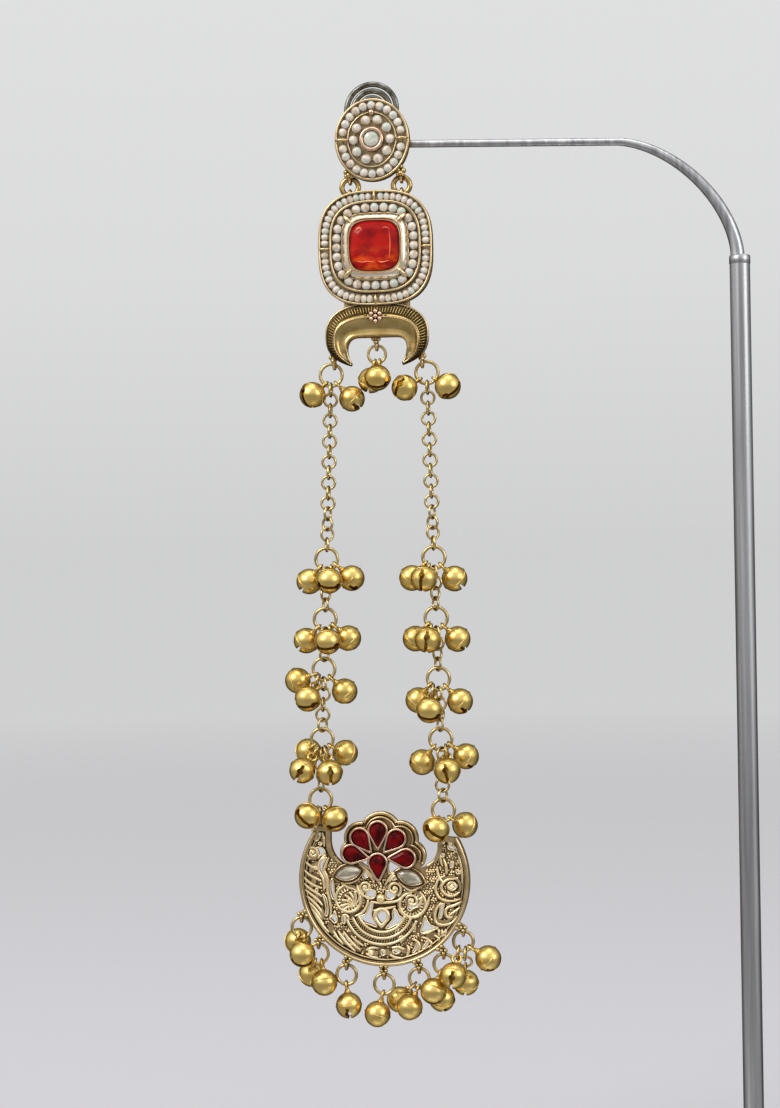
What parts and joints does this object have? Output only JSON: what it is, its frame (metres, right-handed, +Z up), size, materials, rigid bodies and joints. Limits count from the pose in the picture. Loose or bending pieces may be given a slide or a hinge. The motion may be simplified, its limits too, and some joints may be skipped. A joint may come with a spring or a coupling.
{
  "type": "chandbali earring on a display stand",
  "caption": "Long earring of a pearl-ringed stud, a red-stone block, two strings of hollow bells and a pierced crescent pendant, hung from a bent steel rod stand.",
  "frame": {"origin": "middle of the round base's underside", "axes": "+Z up, +X to the right as the stand is looked at, front towards -Y"},
  "size_m": [0.124, 0.124, 0.2594],
  "materials": {
    "steel": "fine brushed",
    "antique_gold": "polished pale gilding, dark in its recesses",
    "string_gold": "polished",
    "pearl": "pearl lustre",
    "gold_thread": "satin wire",
    "milky_stone": "polished, opalescent",
    "red_glass": "polished",
    "ruby_glass": "polished",
    "nacre": "satin"
  },
  "bodies": {
    "stand_and_stud": {"stand_base": "steel", "stand_post": "steel", "stand_arm": "steel", "stud_frame": "antique_gold", "ear_clutch": "steel", "stud_stone": "milky_stone", "stud_outer_pearls": "pearl", "stud_outer_thread": "gold_thread", "stud_inner_pearls": "pearl", "stud_inner_thread": "gold_thread"},
    "drop": {"link_ring_left": "string_gold", "link_ring_right": "string_gold", "block_frame": "antique_gold", "block_outer_pearls": "pearl", "block_inner_pearls": "pearl", "block_inner_thread": "gold_thread", "red_stone": "red_glass", "centre_bells": "string_gold", "left_string": "string_gold", "right_string": "string_gold", "pendant_frame": "antique_gold", "petal_1": "ruby_glass", "petal_2": "ruby_glass", "petal_3": "ruby_glass", "petal_4": "ruby_glass", "petal_5": "ruby_glass", "petal_6": "ruby_glass", "marquise_left": "nacre", "marquise_right": "nacre", "pendant_bells": "string_gold"}
  },
  "joints": [
    {"name": "drop_swing", "type": "hinge", "parent": "stand_and_stud", "child": "drop", "pos_m": [-0.033, -0.0004, 0.2374], "axis": [1, 0, 0], "range_deg": [-40, 40]}
  ]
}
